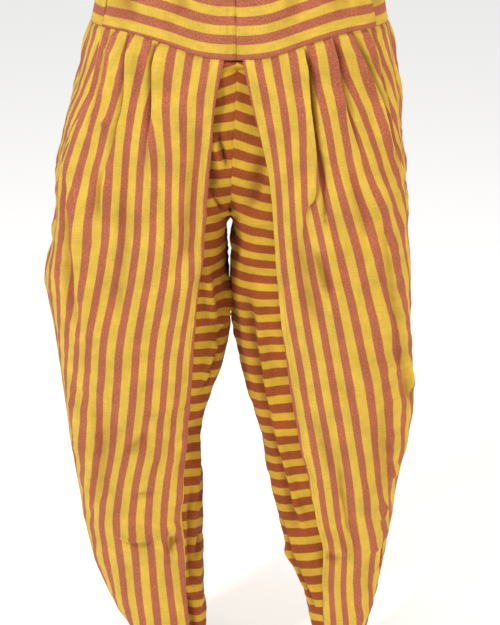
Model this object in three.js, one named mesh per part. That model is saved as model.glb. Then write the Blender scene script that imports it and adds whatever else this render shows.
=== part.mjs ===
// Tulip pants: a wide shaped yoke, two pleated front petals, the under panels that the petals lie on,
// and two pleated back panels. Every piece is a thin wall of cloth round the hollow that it is worn over.
// Millimetres, +Z up, the wearer faces -Y, and the origin is the centre of the waist opening.
// Right and left are the wearer's: the right leg is at -X.
import * as THREE from 'three';

// Cloth and seams
const CLOTH_WALL = 1.6;
const YOKE_WALL = 2.2; // two layers of cloth
const SEAM_GAP = 0.3; // between pieces that are sewn together
const LAYER_STEP = 2.4; // from a petal's face in to the under panel's face, at the yoke and the side seam
const UNDER_TUCK = 9; // the same at mid-front, where the petals stand away from the under panel
const TUCK_LENGTH = 70; // height over which that tuck opens below the yoke

// Heights
const WAIST_Z = 0;
const YOKE_SEAM = { front: -128, side: -99, back: -110 };
const YOKE_DIP = 10; // more makes the seam's dip at the centre front narrower
const SEAM_LEVEL = 150; // below the yoke seam's level, rows follow its curve less and less, down to here
const CROTCH = { x: -8, z: -344, curve: 1.4 }; // curve: more makes the crotch curve a tighter U
const HEM_Z = -955;

// Grid of the walls
const YOKE_ROWS = 4;
const TORSO_ROWS = 8;
const LEG_ROWS = 15;
const BELOW_CROTCH = 9; // one extra row just under the crotch

const COLOURS = { rust: 0xb5603f, yellow: 0xe3bf45, shade: 0xc08a3c, ochre: 0xcf9a3d };

const rowsOf = (names, rows) => rows.map((row) => Object.fromEntries(names.map((name, i) => [name, row[i]])));

// How far the garment reaches at each height: x of both outer sides, y of the front and the back. The
// superellipse power of a leg's section is 2 where it is round, and more where it is fuller at the corners.
const OUTLINE = rowsOf(['z', 'right', 'left', 'front', 'back', 'power'], [
  [0, -157, 160, -106, 112, 2.3],
  [-60, -171, 178, -112, 116, 2.3],
  [-128, -187, 192, -115, 120, 2.3],
  [-180, -198, 201, -117, 124, 2.4],
  [-230, -215, 207, -118, 126, 2.55],
  [-290, -228, 213, -117, 126, 2.8],
  [-360, -232, 218, -114, 123, 3],
  [-405, -244, 223, -112, 120, 2.9],
  [-445, -247, 225, -110, 117, 2.75],
  [-500, -240, 226, -106, 112, 2.6],
  [-560, -234, 231, -101, 106, 2.45],
  [-613, -229, 234, -95, 101, 2.35],
  [-670, -224, 226, -88, 95, 2.3],
  [-730, -216, 215, -80, 88, 2.3],
  [-790, -208, 207, -72, 80, 2.3],
  [-850, -195, 197, -64, 73, 2.3],
  [-915, -169, 186, -56, 65, 2.3],
  [-955, -141, 176, -52, 61, 2.3],
]);

// x of each leg's inner side below the crotch
const INSIDE = rowsOf(['z', 'right', 'left'], [
  [-344, -8, -8],
  [-362, -12.5, -4.5],
  [-400, -14, -7],
  [-440, -13, -9],
  [-500, -11, -1],
  [-555, -22, 11],
  [-590, -36, 18],
  [-642, -51, 27],
  [-700, -50, 39],
  [-760, -49, 52],
  [-821, -50, 64],
  [-882, -47, 85],
  [-955, -48, 103],
]);

// How far past a leg's inner side the under panel runs on towards the back, to the inseam
const INSEAM = rowsOf(['z', 'angle'], [
  [-344, 0],
  [-400, 18],
  [-480, 30],
  [-955, 30],
]);

// x of each petal's open edge
const PETAL_EDGES = rowsOf(['z', 'right', 'left'], [
  [-128, -14, 7],
  [-180, -25, 18],
  [-250, -31, 35],
  [-320, -38, 44],
  [-400, -45, 49],
  [-480, -53, 57],
  [-560, -57, 68],
  [-640, -67, 82],
  [-755, -74, 104],
  [-800, -72, 114],
  [-860, -70, 113],
  [-955, -66, 117],
]);

// Angle of the side seam round a leg, counted from the inner side through the front
const SIDE_SEAM = rowsOf(['z', 'angle'], [
  [0, 154],
  [-225, 155],
  [-330, 167],
  [-500, 171],
  [-955, 165],
]);

// Knife pleats of a panel: place across it at the seam and lower down (0 is the panel's first edge, 1 its
// last), how far down it fades out, how far its fold stands up, and the grid cells before it
const PLEAT_COLUMNS = ['seam', 'low', 'length', 'height', 'cells'];
const PLEATS = {
  petal_right: rowsOf(PLEAT_COLUMNS, [
    [0.46, 0.33, 230, 6, 7],
    [0.68, 0.59, 220, 4, 5],
    [0.83, 0.79, 120, 6, 4],
  ]),
  petal_left: rowsOf(PLEAT_COLUMNS, [
    [0.39, 0.28, 290, 6, 6],
    [0.56, 0.58, 190, 5, 4],
    [0.73, 0.77, 180, 5, 3],
    [0.88, 0.92, 90, 4, 2],
  ]),
  back_right: rowsOf(PLEAT_COLUMNS, [
    [0.28, 0.22, 160, 6, 5],
    [0.48, 0.42, 230, 6, 4],
    [0.68, 0.64, 180, 6, 4],
  ]),
  back_left: rowsOf(PLEAT_COLUMNS, [
    [0.26, 0.2, 180, 6, 5],
    [0.46, 0.4, 210, 6, 4],
    [0.66, 0.6, 190, 6, 4],
  ]),
};
const PLEAT_CELLS_AFTER = 4;
const PLEAT_STEP = { seam: 3.5, low: 14 }; // width of the step from a fold down to the cloth beside it
const PLEAT_RISE = 26; // width over which the cloth climbs to the fold

// Long soft folds of a leg, from (x0, z0) to (x1, z1): width and height, with a negative height for a hollow
const FOLD_COLUMNS = ['x0', 'z0', 'x1', 'z1', 'width', 'height'];
const FOLDS = {
  right: rowsOf(FOLD_COLUMNS, [
    [-212, -250, -208, -490, 12, -5],
    [-165, -255, -158, -420, 16, -3],
    [-110, -300, -125, -640, 26, 3],
    [-90, -620, -150, -560, 14, -3],
    [-150, -640, -160, -880, 18, 3],
  ]),
  left: rowsOf(FOLD_COLUMNS, [
    [106, -300, 116, -440, 13, 5],
    [150, -240, 190, -520, 16, -3],
    [88, -420, 120, -720, 24, 3],
    [205, -520, 214, -660, 9, -4],
    [150, -600, 160, -900, 18, 3],
  ]),
};
const FOLD_FADE = 70; // length over which a fold fades in and out at its ends

const clamp01 = (value) => Math.min(1, Math.max(0, value));
const mix = (a, b, t) => a + (b - a) * t;
const ease = (t) => clamp01(t) ** 2 * (3 - 2 * clamp01(t));
const radians = (degrees) => (degrees * Math.PI) / 180;

// A smooth curve through one column of a table whose rows go down in z
function curveThrough(rows, column) {
  const last = rows.length - 1;
  const slopes = rows.map((row, i) => {
    const above = rows[Math.max(0, i - 1)];
    const below = rows[Math.min(last, i + 1)];
    return (below[column] - above[column]) / (below.z - above.z);
  });
  return (z) => {
    const inside = Math.min(rows[0].z, Math.max(rows[last].z, z));
    const i = Math.max(0, rows.slice(0, last).findLastIndex((row) => row.z >= inside));
    const height = rows[i + 1].z - rows[i].z;
    const t = (inside - rows[i].z) / height;
    const start = rows[i][column] * (1 + 2 * t) * (1 - t) ** 2 + slopes[i] * height * t * (1 - t) ** 2;
    const end = rows[i + 1][column] * (3 - 2 * t) * t ** 2 - slopes[i + 1] * height * (1 - t) * t ** 2;
    return start + end;
  };
}

const curvesOf = (rows, columns) =>
  Object.fromEntries(columns.map((column) => [column, curveThrough(rows, column)]));
const outline = curvesOf(OUTLINE, ['right', 'left', 'front', 'back', 'power']);
const inside = curvesOf(INSIDE, ['right', 'left']);
const inseam = curveThrough(INSEAM, 'angle');
const petalEdge = curvesOf(PETAL_EDGES, ['right', 'left']);
const sideSeam = curveThrough(SIDE_SEAM, 'angle');

const outward = { right: -1, left: 1 };
const torsoDepth = (z) => clamp01((YOKE_SEAM.front - z) / (YOKE_SEAM.front - CROTCH.z));
const centreX = (z) => CROTCH.x * ease(torsoDepth(z));
const tuck = (z) => mix(LAYER_STEP, UNDER_TUCK, ease((YOKE_SEAM.front - z) / TUCK_LENGTH));

// One leg's level section. Above the crotch it reaches past the centre plane, where the panels are cut off,
// so that the cut draws the crotch curve.
function legSection(side, z) {
  const out = outward[side];
  const cy = (outline.front(z) + outline.back(z)) / 2;
  const ry = (outline.back(z) - outline.front(z)) / 2;
  const power = outline.power(z);
  if (z >= CROTCH.z) {
    const reach = 1 - (1 - torsoDepth(z) ** 2) ** CROTCH.curve;
    const rx = Math.abs(outline[side](z) - centreX(z)) / (1 + reach);
    return { out, power, cx: centreX(z) + out * reach * rx, rx, cy, ry };
  }
  const cx = (outline[side](z) + inside[side](z)) / 2;
  return { out, power, cx, rx: Math.abs(outline[side](z) - cx), cy, ry };
}

// The under panel's section in front: flush at the leg's inner side, a layer in at the side, tucked in front
function underSection(side, z) {
  const section = legSection(side, z);
  return {
    ...section,
    cx: section.cx - (section.out * LAYER_STEP) / 2,
    rx: section.rx - LAYER_STEP / 2,
    ry: section.ry - tuck(z),
  };
}

// Angles run from a leg's inner side (0) through the front (90), the outer side (180) and the back (270)
function sectionPoint(section, angle) {
  const bend = (value) => Math.sign(value) * Math.abs(value) ** (2 / section.power);
  const x = -section.out * bend(Math.cos(radians(angle)));
  const y = -bend(Math.sin(radians(angle)));
  const steep = (value) => Math.sign(value) * Math.abs(value) ** (section.power - 1);
  const normal = new THREE.Vector2(steep(x) / section.rx, steep(y) / section.ry).normalize();
  return { point: new THREE.Vector2(section.cx + section.rx * x, section.cy + section.ry * y), normal };
}

// The angle on the front half at which a section has this x
function angleAtX(section, x) {
  const along = THREE.MathUtils.clamp((-section.out * (x - section.cx)) / section.rx, -1, 1);
  const cosine = Math.sign(along) * Math.abs(along) ** (section.power / 2);
  return (Math.acos(cosine) * 180) / Math.PI;
}

const gapAngle = (section) => (SEAM_GAP / 2 / section.ry) * (180 / Math.PI);

function seamHeight(angle) {
  if (angle < 180) {
    return mix(YOKE_SEAM.side, YOKE_SEAM.front, Math.abs(Math.cos(radians(angle - 90))) ** YOKE_DIP);
  }
  return mix(YOKE_SEAM.side, YOKE_SEAM.back, ease((angle - 180) / 90));
}

// How far a leg's long folds move a point of its front out
function foldHeight(side, x, z) {
  let height = 0;
  for (const fold of FOLDS[side]) {
    const along = (z - fold.z0) / (fold.z1 - fold.z0);
    const length = Math.abs(fold.z1 - fold.z0);
    const ends = ease((along * length) / FOLD_FADE) * ease(((1 - along) * length) / FOLD_FADE);
    const across = (x - mix(fold.x0, fold.x1, along)) / fold.width;
    height += fold.height * ends * Math.exp(-(across ** 2));
  }
  return height;
}

// The angles at which each panel starts and ends at a height. Above the crotch the centre plane cuts the
// panels off, and below it the under panel runs on to the inseam, behind the leg's inner side.
const centreEdge = (side, z) => centreX(z) + (outward[side] * SEAM_GAP) / 2;

function petalSpan(side, z) {
  const section = legSection(side, z);
  return [angleAtX(section, petalEdge[side](z)), sideSeam(z) - gapAngle(section)];
}

function underSpan(side, z) {
  const section = underSection(side, z);
  const start = z >= CROTCH.z ? angleAtX(section, centreEdge(side, z)) : -inseam(z);
  return [start + gapAngle(section), sideSeam(z) - gapAngle(section)];
}

function backSpan(side, z) {
  const section = legSection(side, z);
  const end = z >= CROTCH.z ? angleAtX(section, centreEdge(side, z)) : inseam(z);
  return [sideSeam(z) + gapAngle(section), 360 - end - gapAngle(section)];
}

const LAYERS = {
  petal: { span: petalSpan, section: (side, z) => legSection(side, z) },
  under: {
    span: underSpan,
    section: (side, z, angle) => (angle > 0 ? underSection(side, z) : legSection(side, z)),
  },
  back: { span: backSpan, section: (side, z) => legSection(side, z) },
};

// Levels of the rows from the yoke seam to the hem, closer together round the crotch
function panelLevels() {
  const levels = [];
  for (let i = 0; i < TORSO_ROWS; i += 1) {
    levels.push(mix(YOKE_SEAM.front, CROTCH.z, Math.sin((i / TORSO_ROWS) * (Math.PI / 2))));
  }
  levels.push(CROTCH.z, CROTCH.z - BELOW_CROTCH);
  for (let i = 1; i <= LEG_ROWS; i += 1) {
    levels.push(mix(CROTCH.z, HEM_Z, i / LEG_ROWS));
  }
  return levels;
}

// A panel's columns at a height: their place across it, and how far its pleats lift each one
function pleatedColumns(pleats, z, width) {
  const depth = YOKE_SEAM.front - z;
  const columns = [];
  let start = 0;
  for (const pleat of pleats) {
    const fade = 1 - ease(depth / pleat.length);
    const place = mix(pleat.low, pleat.seam, fade);
    const step = mix(PLEAT_STEP.low, PLEAT_STEP.seam, fade) / width;
    const crest = place - step / 2;
    for (let i = 0; i < pleat.cells; i += 1) {
      const across = mix(start, crest, i / (pleat.cells - 1));
      const climb = ease(1 - ((crest - across) * width) / PLEAT_RISE);
      columns.push({ across, lift: pleat.height * fade * climb });
    }
    start = place + step / 2;
  }
  for (let i = 0; i <= PLEAT_CELLS_AFTER; i += 1) {
    columns.push({ across: mix(start, 1, i / PLEAT_CELLS_AFTER), lift: 0 });
  }
  return columns;
}

// The under panel has a column at the petal's edge, and is finer where it shows
const UNDER_CELLS = { shown: 7, covered: 6 };

function underColumns(side, z) {
  const [start, end] = underSpan(side, z);
  const edge = clamp01((petalSpan(side, z)[0] - start) / (end - start));
  const columns = [];
  for (let i = 0; i < UNDER_CELLS.shown; i += 1) {
    columns.push({ across: mix(0, edge, i / UNDER_CELLS.shown), lift: 0 });
  }
  for (let i = 0; i <= UNDER_CELLS.covered; i += 1) {
    columns.push({ across: mix(edge, 1, i / UNDER_CELLS.covered), lift: 0 });
  }
  return columns;
}

// A leg panel's face as rows of points with their outward normals
function panelFace(layer, side) {
  const { span, section } = LAYERS[layer];
  const pleats = PLEATS[`${layer}_${side}`];
  const columnsAt = (z) => {
    if (layer === 'under') return underColumns(side, z);
    const [start, end] = span(side, z);
    const width = radians(end - start) * legSection(side, z).ry;
    return pleatedColumns(pleats, z, width);
  };
  const seamColumns = columnsAt(YOKE_SEAM.front);
  const [seamStart, seamEnd] = span(side, YOKE_SEAM.front);
  return panelLevels().map((level) => {
    const follow = clamp01(1 - (YOKE_SEAM.front - level) / SEAM_LEVEL);
    return seamColumns.map((seamColumn, index) => {
      const seamZ = seamHeight(mix(seamStart, seamEnd, seamColumn.across)) - SEAM_GAP / 2;
      const z = level + (seamZ - YOKE_SEAM.front) * follow;
      const column = columnsAt(z)[index];
      const [start, end] = span(side, z);
      const angle = mix(start, end, column.across);
      const { point, normal } = sectionPoint(section(side, z, angle), angle);
      const inFront = angle > 0 && angle < 180;
      const legX = sectionPoint(legSection(side, z), angle).point.x;
      point.addScaledVector(normal, column.lift + (inFront ? foldHeight(side, legX, z) : 0));
      return { point: new THREE.Vector3(point.x, point.y, z), normal };
    });
  });
}

// A stretch of the yoke: stations are pairs of a side and an angle, in order round the waist
function yokeFace(stations) {
  const rows = [];
  for (let i = 0; i <= YOKE_ROWS; i += 1) {
    rows.push(
      stations.map(({ side, angle }) => {
        const z = mix(WAIST_Z, seamHeight(angle) + SEAM_GAP / 2, i / YOKE_ROWS);
        const { point, normal } = sectionPoint(legSection(side, z), angle);
        return { point: new THREE.Vector3(point.x, point.y, z), normal };
      }),
    );
  }
  return rows;
}

function yokeStations(side, start, end, cells) {
  const stations = [];
  for (let i = 0; i <= cells; i += 1) {
    stations.push({ side, angle: mix(start, end, i / cells) });
  }
  return stations;
}

// A closed wall behind a face: the face, the same grid set in by the wall, and a strip round the edge
function wallGeometry(face, wall) {
  const rows = face.length;
  const columns = face[0].length;
  const positions = [];
  for (const depth of [0, wall]) {
    for (const { point, normal } of face.flat()) {
      positions.push(point.x - normal.x * depth, point.y - normal.y * depth, point.z);
    }
  }
  const count = rows * columns;
  const indices = [];
  for (let row = 0; row < rows - 1; row += 1) {
    for (let column = 0; column < columns - 1; column += 1) {
      const a = row * columns + column;
      const [b, c, d] = [a + 1, a + columns + 1, a + columns];
      indices.push(a, c, b, a, d, c);
      indices.push(a + count, b + count, c + count, a + count, c + count, d + count);
    }
  }
  const rim = [];
  for (let column = 0; column < columns - 1; column += 1) rim.push(column);
  for (let row = 0; row < rows - 1; row += 1) rim.push(row * columns + columns - 1);
  for (let column = columns - 1; column > 0; column -= 1) rim.push((rows - 1) * columns + column);
  for (let row = rows - 1; row > 0; row -= 1) rim.push(row * columns);
  rim.forEach((a, i) => {
    const b = rim[(i + 1) % rim.length];
    indices.push(a, b, b + count, a, b + count, a + count);
  });
  const geometry = new THREE.BufferGeometry();
  geometry.setAttribute('position', new THREE.Float32BufferAttribute(positions, 3));
  geometry.setIndex(indices);
  return geometry;
}

// Faces of a mirrored grid point inwards: turn them over where the closed mesh's volume is negative
function facedOutward(geometry) {
  const index = geometry.getIndex();
  const position = geometry.getAttribute('position');
  const corner = [0, 1, 2].map(() => new THREE.Vector3());
  let volume = 0;
  for (let i = 0; i < index.count; i += 3) {
    corner.forEach((point, k) => point.fromBufferAttribute(position, index.getX(i + k)));
    volume += corner[0].dot(corner[1].cross(corner[2]));
  }
  if (volume < 0) {
    const turned = Array.from(index.array);
    turned.reverse();
    geometry.setIndex(turned);
  }
  geometry.computeVertexNormals();
  return geometry;
}

function clothPiece(name, face, wall, color) {
  const geometry = facedOutward(wallGeometry(face, wall));
  const material = new THREE.MeshStandardMaterial({ color, roughness: 0.9, metalness: 0 });
  const mesh = new THREE.Mesh(geometry, material);
  mesh.name = name;
  return mesh;
}

const YOKE_CELLS = { front: 9, back: 11 };
const yokeGap = gapAngle(legSection('right', WAIST_Z));
const yokeSide = sideSeam(WAIST_Z);

function frontYoke(side) {
  const stations = yokeStations(side, 90 + yokeGap, yokeSide - yokeGap, YOKE_CELLS.front);
  return clothPiece(`yoke_front_${side}`, yokeFace(stations), YOKE_WALL, COLOURS.yellow);
}

function backYoke() {
  const right = yokeStations('right', yokeSide + yokeGap, 270, YOKE_CELLS.back);
  const left = yokeStations('left', yokeSide + yokeGap, 270, YOKE_CELLS.back);
  left.pop();
  return clothPiece('yoke_back', yokeFace([...right, ...left.reverse()]), YOKE_WALL, COLOURS.yellow);
}

const pants = new THREE.Group();
pants.add(backYoke());
for (const side of ['right', 'left']) {
  pants.add(frontYoke(side));
  pants.add(clothPiece(`petal_${side}`, panelFace('petal', side), CLOTH_WALL, COLOURS.rust));
  pants.add(clothPiece(`inner_${side}`, panelFace('under', side), CLOTH_WALL, COLOURS.shade));
  pants.add(clothPiece(`back_${side}`, panelFace('back', side), CLOTH_WALL, COLOURS.ochre));
}

export default pants;
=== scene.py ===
"""Striped cotton tulip pants: the looks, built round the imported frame.

Every panel is a fine sheet of cloth over its CAD solid. It is worked out from the same level sections, then
pleated, creased and crumpled. Each point carries its place in the weave, from which the stripes are drawn.
Work is in millimetres until a mesh is made. Right and left are the wearer's, and the right leg is at -X.
"""
import math
from collections import namedtuple

import bpy
import numpy as np
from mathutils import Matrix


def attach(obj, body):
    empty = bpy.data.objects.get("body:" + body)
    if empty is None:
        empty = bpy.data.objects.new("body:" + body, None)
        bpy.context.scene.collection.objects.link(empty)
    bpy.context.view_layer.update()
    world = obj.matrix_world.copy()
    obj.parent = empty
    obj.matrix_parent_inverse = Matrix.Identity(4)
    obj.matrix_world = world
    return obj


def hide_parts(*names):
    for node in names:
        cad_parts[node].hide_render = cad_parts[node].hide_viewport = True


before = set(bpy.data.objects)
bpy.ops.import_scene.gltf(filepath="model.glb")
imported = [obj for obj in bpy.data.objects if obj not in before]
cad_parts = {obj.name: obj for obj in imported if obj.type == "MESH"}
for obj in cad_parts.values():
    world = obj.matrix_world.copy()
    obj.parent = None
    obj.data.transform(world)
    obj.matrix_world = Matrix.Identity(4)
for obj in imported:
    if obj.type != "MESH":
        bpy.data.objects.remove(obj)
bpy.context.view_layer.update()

MM = 0.001
SIDES = ("right", "left")
OUTWARD = {"right": -1.0, "left": 1.0}

# Cloth and seams, as in the part's source
LAYER_STEP = 2.4  # from the face of one layer of cloth to the next
UNDER_TUCK = 9.0  # how far the under panels lie in from the petals
TUCK_LENGTH = 70.0  # depth below the yoke seam at which they lie that far in
YOKE_SEAM = {"front": -128.0, "side": -99.0, "back": -110.0}
YOKE_DIP = 10  # how sharply the seam dips at the front
SEAM_LEVEL = 150.0  # depth below the seam at which a panel's rows are level
CROTCH = {"x": -8.0, "z": -344.0, "curve": 1.4}
HEM_Z = -955.0

# The sheets of this scene
CLOTH = 0.9
YOKE_CLOTH = 2.0
UNDER_YOKE = 7.0  # how far the panels run up behind the yoke
SEAM_LAP = 1.0  # how far the panels run over the centre seams
INSEAM_LAP = 1.5  # how far the under panels run over the inseams, in degrees
UNDER_CLEAR = 8.0  # how far the hidden part of an under panel lies in from its solid's form
CLEAR_FROM = 8.0  # degrees past the petal's edge at which that part begins
CLEAR_OVER = 16.0  # degrees over which it goes in
SIDE_CLEAR = 0.25  # share of it at the side seam
SIDE_CLEAR_WIDTH = 10.0  # distance from the side seam at which all of it is left

# Rows and columns of the sheets
LEVELS = 262
NEAR_SEAM = 24.0  # below the yoke seam, rows lie closer together down to here
NEAR_LEVELS = 24
CELLS = {"petal": 2.7, "inner": 3.6, "back": 3.4}  # width of a column where the cloth is plain
FINEST = 0.28  # share of that width beside pleats and edges
PLEAT_MARGIN = 4.0  # reach of the finest columns beside a pleat
EDGE_START = 3.0  # how far the columns have widened already at an edge
WIDEN_OVER = 14.0  # distance over which they widen in full
LEAST_WIDTH = 240.0  # columns are counted for a panel at least this wide
YOKE_LEVELS = 56
YOKE_COLUMNS = 0.875  # columns a degree

# How far the garment reaches at each height
OUTLINE_COLUMNS = ("z", "right", "left", "front", "back", "power")
OUTLINE = (
    (0, -157, 160, -106, 112, 2.3),
    (-60, -171, 178, -112, 116, 2.3),
    (-128, -187, 192, -115, 120, 2.3),
    (-180, -198, 201, -117, 124, 2.4),
    (-230, -215, 207, -118, 126, 2.55),
    (-290, -228, 213, -117, 126, 2.8),
    (-360, -232, 218, -114, 123, 3),
    (-405, -244, 223, -112, 120, 2.9),
    (-445, -247, 225, -110, 117, 2.75),
    (-500, -240, 226, -106, 112, 2.6),
    (-560, -234, 231, -101, 106, 2.45),
    (-613, -229, 234, -95, 101, 2.35),
    (-670, -224, 226, -88, 95, 2.3),
    (-730, -216, 215, -80, 88, 2.3),
    (-790, -208, 207, -72, 80, 2.3),
    (-850, -195, 197, -64, 73, 2.3),
    (-915, -169, 186, -56, 65, 2.3),
    (-955, -141, 176, -52, 61, 2.3),
)

# x of each leg's inner side below the crotch
SIDE_COLUMNS = ("z", *SIDES)
INSIDE = (
    (-344, -8, -8),
    (-362, -12.5, -4.5),
    (-400, -14, -7),
    (-440, -13, -9),
    (-500, -11, -1),
    (-555, -22, 11),
    (-590, -36, 18),
    (-642, -51, 27),
    (-700, -50, 39),
    (-760, -49, 52),
    (-821, -50, 64),
    (-882, -47, 85),
    (-955, -48, 103),
)

# How many degrees past a leg's inner side the inseam lies
INSEAM = ((-344, 0), (-400, 18), (-480, 30), (-955, 30))

# x of each petal's open edge
PETAL_EDGES = (
    (-128, -14, 7),
    (-180, -25, 18),
    (-250, -31, 35),
    (-320, -38, 44),
    (-400, -45, 49),
    (-480, -53, 57),
    (-560, -57, 68),
    (-640, -67, 82),
    (-755, -74, 104),
    (-800, -72, 114),
    (-860, -70, 113),
    (-955, -66, 117),
)

# Angle of the side seam round a leg
SIDE_SEAM = ((0, 154), (-225, 155), (-330, 167), (-500, 171), (-955, 165))

# Knife pleats: place across the panel at the seam and lower down, how far down it gets there, how far down
# the pleat opens, how high its fold stands, and how much cloth it takes up at the seam
Pleat = namedtuple("Pleat", ("seam", "low", "shift", "length", "height", "taken"))
PLEATS = {
    "petal_right": (
        (0.405, 0.225, 150, 155, 10, 33),
        (0.63, 0.49, 130, 165, 8, 21),
        (0.81, 0.81, 150, 125, 8, 6),
    ),
    "petal_left": (
        (0.325, 0.165, 170, 250, 8, 40),
        (0.525, 0.51, 160, 140, 9, 31),
        (0.70, 0.92, 110, 190, 8, 22),
        (0.89, 0.96, 90, 90, 5, 6),
    ),
    "back_right": (
        (0.28, 0.22, 240, 170, 8, 22),
        (0.48, 0.42, 320, 230, 8, 22),
        (0.68, 0.64, 250, 180, 8, 22),
    ),
    "back_left": (
        (0.26, 0.2, 250, 180, 8, 22),
        (0.46, 0.4, 290, 210, 8, 22),
        (0.66, 0.6, 260, 190, 8, 22),
    ),
}
PLEAT_FREE = (1.0, 5.0)  # depth below the seam at which a pleat starts to rise, and over which it does
PLEAT_STEP = 3.2  # width of the drop from a pleat's fold
PLEAT_RISE = 17.0  # width over which the cloth climbs to it
PLEAT_GROOVE = 0.7  # depth of the groove beyond it, as a share of its height
PLEAT_RECOVER = 11.0  # width over which the groove fills again
PLEAT_HANG = 0.5  # how far the fold leans out over the groove, as a share of its height
HANG_PLACE = -0.6  # where it leans furthest, past the fold
HANG_WIDTH = 2.4
PLEAT_TAKES = 0.25  # share of the drop past which the cloth that is taken up is hidden
PLEAT_FLAT = 0.3  # share of a pleat's height where it is caught in the seam
PLEAT_SWELL = 28.0  # depth below the seam at which it stands in full
PLEAT_DARK = 4.0  # height of a fold at which the painted shade in its groove is at its darkest
DARK_FROM = 1.5  # distance past the fold at which the painted shade is full
DARK_SPREAD = 0.4  # how much further it reaches, as a share of the fold's height
DARK_FADE = 2.2

# Stripes: one yellow and one rust stripe make a period
PERIOD = 21.0
YOKE_PERIOD = 22.5
EDGE_STRIPE = 8.0  # width of the rust stripe along a petal's open edge

# How far the petals' stripes stand off their distance from the open edge, at 0 to 200 mm from that edge
DRIFT_AT = (0, 40, 80, 120, 160, 200)
DRIFT = {
    "right": (
        (-128, 1, 4, 4, -1, -3, -8),
        (-190, 5, 8, 10, 14, 15, 5),
        (-260, 2, 14, 22, 26, 27, 16),
        (-330, 0, 17, 23, 26, 22, 10),
        (-445, 4, 15, 16, 17, 22, 22),
        (-560, -1, 5, 8, 7, 8, 6),
        (-680, -4, -3, -1, -1, -4, -6),
        (-800, -5, -3, -3, -6, -10, -10),
        (-955, 4, 3, 2, 0, -4, -4),
    ),
    "left": (
        (-128, 4, 7, 7, 7, 5, -3),
        (-190, 6, 9, 14, 15, 14, 1),
        (-260, 9, 21, 29, 30, 28, 18),
        (-330, 11, 26, 33, 29, 23, 7),
        (-445, 9, 15, 17, 14, 3, -14),
        (-560, 3, 9, 10, 4, -6, -18),
        (-680, 5, 11, 12, 7, 2, -6),
        (-800, 9, 21, 17, 8, 2, 0),
        (-955, 4, 10, 8, 4, 0, 0),
    ),
}
# The under panels' stripes run across the leg. They rise by the slant for each millimetre out from the inner
# side, and the drift is how far they lie below an even spacing.
UNDER_PERIOD = 24.0
UNDER_FIRST = {"right": -144.0, "left": -142.0}  # top of the first rust stripe at the centre seam
UNDER_SLANT = {
    "right": (
        (-128, -0.4), (-175, -0.4), (-215, -0.12), (-330, 0), (-430, 0.1), (-600, 0.25), (-955, 0.27)
    ),
    "left": (
        (-128, -0.48), (-190, -0.38), (-262, -0.25), (-311, -0.13), (-400, 0.08), (-600, 0.22), (-955, 0.3)
    ),
}
UNDER_DRIFT = {
    "right": (
        (-143, 0), (-238, 0), (-341, 6), (-385, 8), (-431, 4), (-520, -2), (-709, 0), (-812, 8), (-955, 6)
    ),
    "left": (
        (-143, 0), (-238, 0), (-335, 4), (-370, 11), (-431, 9), (-520, 4), (-614, 9), (-709, 6), (-955, 7)
    ),
}

# How far the back panels' stripes lean backwards as they descend
BACK_LEAN = ((-115, 0), (-250, 45), (-450, 130), (-600, 150), (-955, 60))

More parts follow.
